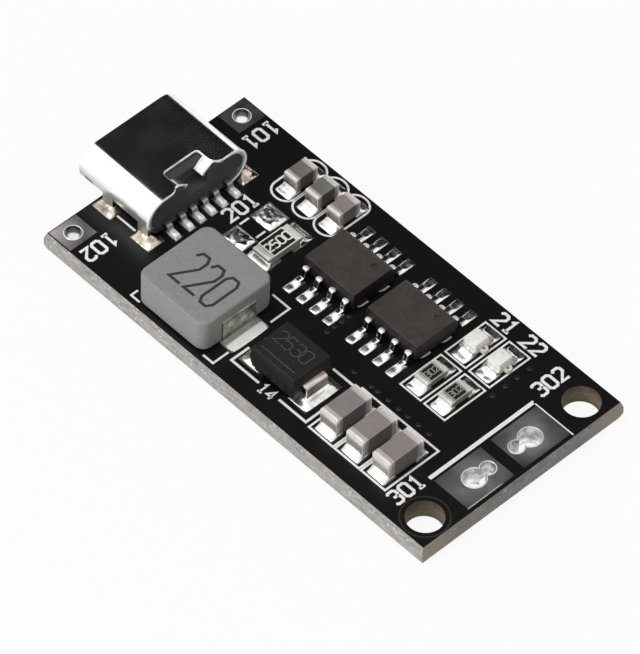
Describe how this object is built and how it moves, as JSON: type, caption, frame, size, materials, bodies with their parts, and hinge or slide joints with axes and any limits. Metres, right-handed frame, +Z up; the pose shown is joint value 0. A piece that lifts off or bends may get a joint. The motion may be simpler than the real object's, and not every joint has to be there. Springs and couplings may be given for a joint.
{
  "type": "lithium battery charger module",
  "caption": "Small black charger board for a lithium battery: USB-C receptacle at one end, moulded inductor, diode and ICs in the middle, plated battery pads at the other end.",
  "frame": {"origin": "centre of the board's flat underside", "axes": "+X along the board from the receptacle to the battery pads, +Y towards the edge with the input capacitors and LEDs, +Z up out of the component side"},
  "size_m": [0.038, 0.0184, 0.0049],
  "materials": {
    "board": "black solder mask with raised tinned pads and grey laminate edges",
    "shell": "bright nickel-plated sheet steel",
    "housing_resin": "dark moulded resin",
    "contact_plating": "bright plated copper alloy",
    "iron_powder": "pressed grey iron powder with a fine grain",
    "tin": "soft tin plating",
    "mould_epoxy": "dark moulded epoxy, faintly speckled",
    "grey_ceramic": "fired grey-brown ceramic with tin-plated ends",
    "brown_ceramic": "fired pinkish-brown ceramic with tin-plated ends",
    "alumina": "white alumina with black glaze and tin-plated ends",
    "led_base": "off-white laminate with plated ends",
    "led_resin": "clear yellowish resin"
  },
  "bodies": {
    "root": {"diode_body": "mould_epoxy", "diode_lead_left": "tin", "diode_lead_right": "tin", "ic_1_body": "mould_epoxy", "ic_1_lead_1": "tin", "ic_1_lead_2": "tin", "ic_1_lead_3": "tin", "ic_1_lead_4": "tin", "ic_1_lead_5": "tin", "ic_1_lead_6": "tin", "ic_1_lead_7": "tin", "ic_1_lead_8": "tin", "ic_2_body": "mould_epoxy", "ic_2_lead_1": "tin", "ic_2_lead_2": "tin", "ic_2_lead_3": "tin", "ic_2_lead_4": "tin", "ic_2_lead_5": "tin", "ic_2_lead_6": "tin", "ic_2_lead_7": "tin", "ic_2_lead_8": "tin", "inductor_body": "iron_powder", "inductor_terminal_left": "tin", "inductor_terminal_right": "tin", "input_capacitor_1": "grey_ceramic", "input_capacitor_2": "grey_ceramic", "input_capacitor_3": "brown_ceramic", "led_1_base": "led_base", "led_1_lens": "led_resin", "led_1_resistor": "alumina", "led_2_base": "led_base", "led_2_lens": "led_resin", "led_2_resistor": "alumina", "output_capacitor_1": "grey_ceramic", "output_capacitor_2": "brown_ceramic", "output_capacitor_3": "brown_ceramic", "pcb": "board", "sense_resistor": "alumina", "usb_contact_1": "contact_plating", "usb_contact_2": "contact_plating", "usb_contact_3": "contact_plating", "usb_contact_4": "contact_plating", "usb_contact_5": "contact_plating", "usb_contact_6": "contact_plating", "usb_housing": "housing_resin", "usb_shell": "shell"}
  },
  "joints": []
}
